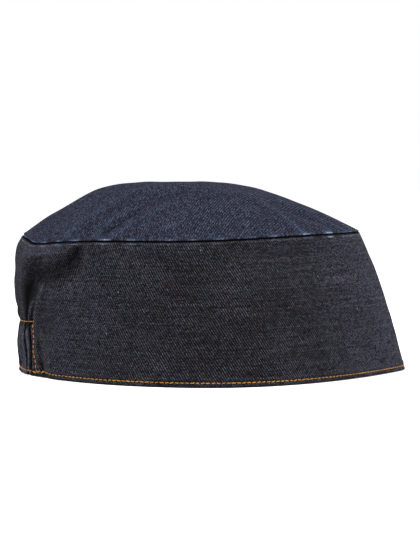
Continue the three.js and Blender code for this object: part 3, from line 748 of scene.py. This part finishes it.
# around is a share of the seam's reach to that end, up one of its half width, positive on the wearer's right
CROWN_FOLDS = {
    "forehead ridge, right": [
        Fold(0.93, 0.16, 0.05, 0.05, -0.9),
        Fold(0.45, 0.26, 0.1, 0.1, -0.5),
    ],
    "forehead hollow, right": [
        Fold(0.86, 0.36, 0.06, 0.06, 0.8),
        Fold(0.4, 0.42, 0.1, 0.1, 0.4),
    ],
    "temple ridge, right": [
        Fold(0.58, 0.7, 0.06, 0.06, -0.7),
        Fold(0.3, 0.4, 0.1, 0.1, -0.35),
    ],
    "nape ridge, right": [
        Fold(-0.72, 0.58, 0.07, 0.07, -0.8),
        Fold(-0.3, 0.4, 0.12, 0.12, -0.5),
    ],
    "nape hollow, right": [
        Fold(-0.52, 0.76, 0.07, 0.07, 0.8),
        Fold(-0.16, 0.5, 0.12, 0.12, 0.4),
    ],
    "forehead ridge, left": [
        Fold(0.85, -0.3, 0.07, 0.07, -0.8),
        Fold(0.42, -0.24, 0.1, 0.1, -0.4),
    ],
    "nape hollow, left": [
        Fold(-0.76, -0.54, 0.08, 0.08, 0.8),
        Fold(-0.3, -0.36, 0.12, 0.12, 0.5),
    ],
    "ear hollow, left": [
        Fold(0.1, -0.8, 0.1, 0.1, 0.6),
        Fold(0.05, -0.45, 0.12, 0.12, 0.3),
    ],
}

crown_denim = denim(
    "indigo denim, three-and-one twill, worn bluer",
    warp_dark="0d0e14",
    warp_light="1e1f28",
    weft_dark="20212a",
    weft_light="3e4150",
    rubbed="1e2938",
    reverse="4a4e58",
    lean=-1.0,
    scatter=1.9,
    grain_share=0.35,
)


def crown_relief(x, y):
    """How far the crown's face lies in because of its creases and ripples."""

    def place(row):
        reach = crown_high.x if row.around > 0 else -crown_low.x
        return row.around * reach, -row.up * crown_high.y

    folds = CREASE_DEPTH * folded(CROWN_FOLDS, place, x, y, crown_high.y)
    waves = CROWN_WAVE_DEPTH * ripples(x, y, 21, 16, 25, 60)
    return folds + waves + CROWN_SMALL_WAVE_DEPTH * ripples(x, y, 22, 16, 8, 18)


def crown_point(share, reach, depth):
    """The crown's slope, depth below its face. reach runs from 0 at the centre to 1 above the seam."""
    rim, out = seam_at(share)
    set_back = LIP_SET_BACK + END_SET_BACK * endness(share)
    rim = rim - out * (depth + set_back)[..., None]
    centre = np.array([CROWN_CENTRE, 0])
    level = centre + (rim - centre) * reach[..., None]
    frontness = (1 - np.cos(2 * np.pi * share)) / 2
    back, front = (
        smooth_table(reach, column(CROWN_SECTIONS, "reach"), column(CROWN_SECTIONS, name))
        for name in ("back", "front")
    )
    rise = back + (front - back) * frontness
    shoulder = seam_height_at(share) + SEWING_GAP + LIP_HEIGHT * lip_scale(share) - 0.6 * depth
    height = shoulder + (CAP_HEIGHT - depth - shoulder) * rise
    held = eased(1 - reach, 0, 0.12)
    puckers = 0.4 * seam_puckers(share_to_around(share)) * bell(1 - reach, 0.07)
    height = height + puckers - held * crown_relief(level[..., 0], level[..., 1])
    return np.concatenate([level, height[..., None]], -1)


def endness(share):
    """1 at the nape and forehead, 0 over the ears."""
    return np.cos(2 * np.pi * share) ** 4


def lip_scale(share):
    return 1 - (1 - FOREHEAD_LIP) * np.maximum(-np.cos(2 * np.pi * share), 0) ** 4


def share_to_around(share):
    return (np.mod(share + 0.5, 1) - 0.5) * hem_girth


def lip_point(share, depth, rise):
    """A point of the roll over the seam, so far in from the seam and above the band."""
    rim, out = seam_at(share)
    depth = depth + END_SET_BACK * endness(share)
    rise = rise * lip_scale(share)
    bulge = 0.2 * seam_puckers(share_to_around(share)) * bell(rise - 1, 0.8)
    level = rim - out * (depth - bulge)[..., None]
    return np.concatenate([level, (seam_height_at(share) + rise)[..., None]], -1)


def allowance_point(share, drop, depth):
    """A point of the cut edge that hangs inside the band, so far below the seam and in from its face."""
    around = share_to_around(share)
    up = 1 - drop / SEAM_HEIGHT
    return band_point(around, up, band_relief(around, up) + depth)


def crown_grid():
    shares = np.linspace(0, 1, 401)
    strips = []

    def strip(function, first, second):
        share, first = np.meshgrid(shares, first, indexing="ij")
        second = np.broadcast_to(second, share.shape)
        strips.append(function(share, first, second))

    turn = np.radians(np.linspace(-70, 50, 10))
    reaches = np.concatenate([np.linspace(1, 0.8, 22), np.linspace(0.8, 0, 74)[1:]])
    strip(allowance_point, np.array([ALLOWANCE, 4, 1.5]), CLOTH + 0.15)
    strip(lip_point, 0.9 - 0.9 * np.cos(turn), 0.8 + 0.65 * np.sin(turn))
    strip(crown_point, reaches, 0)
    outer = sum(part.shape[1] for part in strips)
    strip(crown_point, reaches[::-4], CLOTH)
    strip(allowance_point, np.array([1.5, 4, ALLOWANCE]), 2 * CLOTH + 0.15)
    points = np.concatenate([*strips, strips[0][:, :1]], 1)
    return points, outer


crown_points, crown_outer = crown_grid()
crown_x, crown_y = crown_points[..., 0], crown_points[..., 1]
# Above 0 rubbed paler, below 0 painted shade
crown_wear_and_shade = ridges(crown_relief, crown_x, crown_y, 3, 3)
crown_shares = np.linspace(0, 1, 401)[:, None]
above_seam = crown_points[..., 2] - seam_height_at(crown_shares)
gathers = np.maximum(seam_puckers(share_to_around(crown_shares)), -0.4)
lip = LIP_RUB * bell(above_seam - 0.8, 0.35) * (1 + GATHER_RUB * gathers)
# Painted shade in the groove below the lip
groove_shade = SEAM_GROOVE_SHADE * bell(above_seam - 0.1, 0.35)
crown_wear_and_shade = CROWN_RIDGE_RUB_AND_HOLLOW_SHADE * crown_wear_and_shade + np.minimum(lip, LIP_RUB_MOST) - groove_shade
is_outer = (np.arange(crown_points.shape[1]) < crown_outer).astype(float)
crown_panel = cloth(
    "crown_panel_denim",
    crown_points,
    np.stack([crown_x, crown_y], -1),
    {"wear_and_shade": crown_wear_and_shade, "reverse": 1 - is_outer},
    crown_denim,
    left_out=(crown_outer - 1,),
)
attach(crown_panel, "root")
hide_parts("crown_panel")


# Elastic casing: inside the lower nape, a flat elastic in a facing of the same denim, stitched through to
# the band along all four sides. Drawn in, it lies in fine gathers.
FACING_WIDTH = 65
FACING_LOW = 5.6
FACING_HIGH = 27


def facing_grid():
    around = np.linspace(-FACING_WIDTH / 2, FACING_WIDTH / 2, 131)
    middle, half = (FACING_LOW + FACING_HIGH) / 2, (FACING_HIGH - FACING_LOW) / 2
    turn = np.linspace(0, 2 * np.pi, 45)
    across, swell = np.sin(turn), np.cos(turn)
    ends = np.sqrt(np.clip(1 - (2 * np.abs(around) / FACING_WIDTH) ** 12, 0, 1))
    grid, sine = np.meshgrid(around, np.sign(across) * np.abs(across) ** 0.5, indexing="ij")
    cosine = np.sign(swell) * np.abs(swell) ** 0.35
    heights = middle + half * sine
    gathers = 0.18 * ripples(grid, 0.1 * heights, 31, 12, 3, 6) * ends[:, None]
    depth = CLOTH + 1.15 - ends[:, None] * cosine * (0.95 + 0.5 * (cosine < 0) * gathers)
    ups = heights / SEAM_HEIGHT
    points = band_point(grid, ups, np.minimum(band_relief(grid, ups), 1) + depth)
    return points[::-1], np.stack([grid, heights], -1)[::-1]


facing_points, facing_flat = facing_grid()
facing = cloth("elastic_casing_facing", facing_points, facing_flat, {"wear_and_shade": 0, "reverse": 0}, band_denim)
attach(facing, "root")
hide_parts("elastic_casing")


# Stitches: orange polyester topstitching thread, two plies twisted, lockstitched through the hem all round
# and in a rectangle round the casing. Each stitch sinks into the cloth at its ends and leans a little.
STITCH_PITCH = 2.5
THREAD = 0.42
STITCH_LENGTH = 2.2
PLIES = 2
PLY_TURNS = 3.0  # of the twist, in each stitch
SWALLOWED = (24.5, 28.5)  # the stretch of the casing's upper row that lies down in a fold
SEWN_TWICE = (36, 42)  # the stretches of the hem where the rows meet

thread_orange = bpy.data.materials.new("orange polyester topstitching thread, twisted")
thread_orange.use_nodes = True
thread_tree = thread_orange.node_tree
thread_tree.nodes.clear()
# The twist shades each ply, and wear leaves the thread a little uneven along the hem.
ply_along = add(thread_tree, "ShaderNodeAttribute", attribute_name="along")[2]
ply_round = add(thread_tree, "ShaderNodeAttribute", attribute_name="turned")[2]
ply = {0: ply_along, 1: PLY_TURNS, 2: ply_round}
ply = add(thread_tree, "ShaderNodeMath", ply, operation="MULTIPLY_ADD")[0]
ply = add(thread_tree, "ShaderNodeMath", {0: ply, 1: 2 * np.pi * PLIES}, operation="MULTIPLY")[0]
twist = add(thread_tree, "ShaderNodeMath", {0: ply}, operation="SINE")[0]
on_thread = add(thread_tree, "ShaderNodeTexCoord")["Object"]
patches_of_wear = {"Vector": on_thread, "Scale": 1 / (4 * MM), "Detail": 2.0}
shade = {0: add(thread_tree, "ShaderNodeTexNoise", patches_of_wear)[0], 1: 1.6, 2: -0.35}
shade = add(thread_tree, "ShaderNodeMath", shade, operation="MULTIPLY_ADD")[0]
shade = add(thread_tree, "ShaderNodeMath", {0: twist, 1: 0.12, 2: shade}, operation="MULTIPLY_ADD")[0]
thread_shades = {0: shade, 6: linear("744b0b"), 7: linear("a6761e")}
thread_bump = {"Strength": 0.6, "Distance": 0.06 * MM, "Height": twist}
thread_surface = {
    "Base Color": add(thread_tree, "ShaderNodeMix", thread_shades, data_type="RGBA")[2],
    "Roughness": 0.6,
    "Specular IOR Level": 0.15,
    "Normal": add(thread_tree, "ShaderNodeBump", thread_bump)[0],
}
thread_shader = add(thread_tree, "ShaderNodeBsdfPrincipled", thread_surface)[0]
add(thread_tree, "ShaderNodeOutputMaterial", {0: thread_shader})


def stitch_rows():
    """The tree that lays a thread's stitches along a path, whose points say which way is outward."""
    tree = bpy.data.node_groups.new("stitches along a seam", "GeometryNodeTree")
    sizes = {"Pitch": 0.0025, "Length": 0.002, "Thread": 0.0005, "Lean": 0.0}
    tree.interface.new_socket("Path", in_out="INPUT", socket_type="NodeSocketGeometry")
    for name, value in sizes.items():
        tree.interface.new_socket(name, in_out="INPUT", socket_type="NodeSocketFloat").default_value = value
    tree.interface.new_socket("Colour", in_out="INPUT", socket_type="NodeSocketMaterial")
    tree.interface.new_socket("Stitches", in_out="OUTPUT", socket_type="NodeSocketGeometry")
    given = add(tree, "NodeGroupInput")
    half = add(tree, "ShaderNodeMath", {0: given["Length"], 1: 0.5}, operation="MULTIPLY")[0]
    back = add(tree, "ShaderNodeMath", {0: half, 1: -1.0}, operation="MULTIPLY")[0]
    sunk = add(tree, "ShaderNodeMath", {0: given["Thread"], 1: -0.75}, operation="MULTIPLY")[0]
    proud = add(tree, "ShaderNodeMath", {0: given["Thread"], 1: 1.2}, operation="MULTIPLY")[0]
    radius = add(tree, "ShaderNodeMath", {0: given["Thread"], 1: 0.5}, operation="MULTIPLY")[0]
    start = add(tree, "ShaderNodeCombineXYZ", {0: back, 2: sunk})[0]
    middle = add(tree, "ShaderNodeCombineXYZ", {2: proud})[0]
    end = add(tree, "ShaderNodeCombineXYZ", {0: half, 2: sunk})[0]
    arc = add(tree, "GeometryNodeCurveQuadraticBezier", {0: 7, 1: start, 2: middle, 3: end})[0]
    round_thread = add(tree, "GeometryNodeCurvePrimitiveCircle", {0: 7, 4: radius})[0]

    def with_share(curve, name):
        """Keeps how far along a curve each of its points is, for the twist in the material."""
        kept = {0: curve, "Name": name, "Value": add(tree, "GeometryNodeSplineParameter")[0]}
        return add(tree, "GeometryNodeStoreNamedAttribute", kept, domain="POINT")[0]

    arc, round_thread = with_share(arc, "along"), with_share(round_thread, "turned")
    swept = {"Curve": arc, "Profile Curve": round_thread, "Fill Caps": True}
    stitch = add(tree, "GeometryNodeCurveToMesh", swept)[0]
    seam = add(tree, "GeometryNodeMeshToCurve", {0: given["Path"]})[0]
    holes = add(tree, "GeometryNodeCurveToPoints", {0: seam, "Length": given["Pitch"]}, mode="LENGTH")
    outward = add(tree, "GeometryNodeInputNamedAttribute", {"Name": "outward"}, data_type="FLOAT_VECTOR")[0]
    axes = {0: holes["Tangent"], 1: outward}
    facing_out = add(tree, "FunctionNodeAxesToRotation", axes, primary_axis="X", secondary_axis="Z")[0]
    least = add(tree, "ShaderNodeMath", {0: given["Lean"], 1: -1.0}, operation="MULTIPLY")[0]
    most = add(tree, "ShaderNodeMath", {0: given["Lean"], 1: 1.6}, operation="MULTIPLY")[0]
    lean = add(tree, "FunctionNodeRandomValue", {2: least, 3: most, "Seed": 4}, data_type="FLOAT")[1]
    leaning = add(tree, "FunctionNodeAxisAngleToRotation", {0: (0, 0, 1), 1: lean})[0]
    turns = {0: facing_out, 1: leaning}
    turned = add(tree, "FunctionNodeRotateRotation", turns, rotation_space="LOCAL")[0]
    lengths = {0: (0.86, 0.92, 0.75), 1: (1.06, 1.08, 1.15), "Seed": 9}
    scale = add(tree, "FunctionNodeRandomValue", lengths, data_type="FLOAT_VECTOR")[0]
    placed = {"Points": holes["Points"], "Instance": stitch, "Rotation": turned, "Scale": scale}
    sewn = add(tree, "GeometryNodeInstanceOnPoints", placed)[0]
    real = add(tree, "GeometryNodeRealizeInstances", {0: sewn})[0]
    smooth = add(tree, "GeometryNodeSetShadeSmooth", {0: real})[0]
    coloured = add(tree, "GeometryNodeSetMaterial", {0: smooth, "Material": given["Colour"]})[0]
    add(tree, "NodeGroupOutput", {0: coloured})
    return tree


def seam_path(around, height):
    """A row of stitches on the band's face: its points and the ways out of the cloth there."""
    around, height = np.broadcast_arrays(np.asarray(around, float), np.asarray(height, float))
    up = height / seam_over(around)

    def face(a, u):
        return band_point(a, u, band_relief(a, u))

    along_row = face(around + 0.8, up) - face(around - 0.8, up)
    up_row = face(around, up + 0.012) - face(around, up - 0.012)
    return face(around, up), unit(np.cross(along_row, up_row))


def topstitch(name, paths, closed=False):
    """Sews rows of stitches along paths and returns them as one piece."""
    points, outward, edges = [], [], []
    for path, ways in paths:
        first = len(points)
        points += (path * MM).tolist()
        outward += ways.tolist()
        edges += [(first + i, first + i + 1) for i in range(len(path) - 1)]
        if closed:
            edges.append((first + len(path) - 1, first))
    mesh = bpy.data.meshes.new(name)
    mesh.from_pydata(points, edges, [])
    mesh.attributes.new("outward", "FLOAT_VECTOR", "POINT").data.foreach_set("vector", np.ravel(outward))
    made = bpy.data.objects.new(name, mesh)
    bpy.context.scene.collection.objects.link(made)
    modifier = made.modifiers.new("sewing", "NODES")
    modifier.node_group = stitching
    values = {
        "Pitch": STITCH_PITCH * MM,
        "Length": STITCH_LENGTH * MM,
        "Thread": THREAD * MM,
        "Lean": radians(11),
        "Colour": thread_orange,
    }
    for socket in stitching.interface.items_tree:
        if socket.name in values:
            modifier[socket.identifier] = values[socket.name]
    depsgraph = bpy.context.evaluated_depsgraph_get()
    made.data = bpy.data.meshes.new_from_object(made.evaluated_get(depsgraph))
    made.modifiers.clear()
    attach(made, "root")
    return made


stitching = stitch_rows()
hem_path = seam_path(np.arange(-half_girth, half_girth, 1.1), HEM_STITCH_HEIGHT)
topstitch("hem_topstitching", [hem_path], closed=True)
up_to_fold = np.linspace(-CASING_STITCH, SWALLOWED[0], 75)
past_fold = np.linspace(SWALLOWED[1], CASING_STITCH, 12)
down = np.linspace(CASING_STITCH_HIGH, HEM_STITCH_HEIGHT, 30)
sewn_twice = np.linspace(*SEWN_TWICE, 8)
topstitch(
    "casing_topstitching",
    [
        seam_path(up_to_fold, casing_stitch_height(up_to_fold)),
        seam_path(past_fold, casing_stitch_height(past_fold)),
        seam_path(casing_stitch_side(down), down),
        seam_path(-casing_stitch_side(down), down),
        seam_path(sewn_twice, HEM_STITCH_HEIGHT - 0.5),
        seam_path(-sewn_twice[::-1], HEM_STITCH_HEIGHT - 0.5),
    ],
)


# Studio: a pale paper floor under a white room, a large soft light from the upper left and a weaker one from
# the right. The camera looks at the wearer's right side, a little down.
floor_mesh = bpy.data.meshes.new("studio_floor")
floor_mesh.from_pydata([(-6, -6, 0), (6, -6, 0), (6, 6, 0), (-6, 6, 0)], [], [(0, 1, 2, 3)])
floor = bpy.data.objects.new("studio_floor", floor_mesh)
bpy.context.scene.collection.objects.link(floor)
paper = bpy.data.materials.new("matt pale paper")
paper.use_nodes = True
# Far out it is paler, so that no line shows where it meets the white room.
middle_out = add(paper.node_tree, "ShaderNodeTexCoord")["Object"]
paper_reach = add(paper.node_tree, "ShaderNodeVectorMath", {0: middle_out}, operation="LENGTH")["Value"]
fade = {"Value": paper_reach, "From Min": 0.5, "From Max": 3.0}
faded = add(paper.node_tree, "ShaderNodeMapRange", fade)[0]
paper_shades = {0: faded, 6: linear("dadada"), 7: linear("ffffff")}
pale = add(paper.node_tree, "ShaderNodeMix", paper_shades, data_type="RGBA")[2]
paper_surface = paper.node_tree.nodes["Principled BSDF"]
paper.node_tree.links.new(pale, paper_surface.inputs["Base Color"])
paper_surface.inputs["Roughness"].default_value = 1.0
paper_surface.inputs["Specular IOR Level"].default_value = 0.0
floor_mesh.materials.append(paper)


def softbox(name, place, size, watts, aim=(0, 0, 0.04)):
    light = bpy.data.lights.new(name, "AREA")
    light.shape = "DISK"
    light.size = size
    light.energy = watts
    made = bpy.data.objects.new(name, light)
    bpy.context.scene.collection.objects.link(made)
    direction = np.array(aim) - np.array(place)
    pitch = np.arctan2(np.hypot(direction[0], direction[1]), -direction[2])
    turn = np.arctan2(direction[1], direction[0]) - np.pi / 2
    made.location = place
    made.rotation_euler = (pitch, 0, turn)


softbox("key_light", (-1.08, -0.62, 1.12), 0.5, 46)
softbox("right_light", (1.28, -0.46, 0.5), 0.7, 38)
softbox("top_light", (0.1, 0.1, 1.4), 0.9, 8)
world = bpy.data.worlds.new("white_room")
world.use_nodes = True
world.node_tree.nodes["Background"].inputs["Color"].default_value = (1, 1, 1, 1)
world.node_tree.nodes["Background"].inputs["Strength"].default_value = 1.0
bpy.context.scene.world = world
bpy.context.scene.view_settings.view_transform = "Standard"

camera_data = bpy.data.cameras.new("camera")
camera_data.lens = 129.2
camera_data.sensor_width = 36
camera = bpy.data.objects.new("camera", camera_data)
bpy.context.scene.collection.objects.link(camera)
camera.location = (0, -1, 0.1085)
camera.rotation_euler = (radians(90 - 3.25), 0, 0)
bpy.context.scene.camera = camera
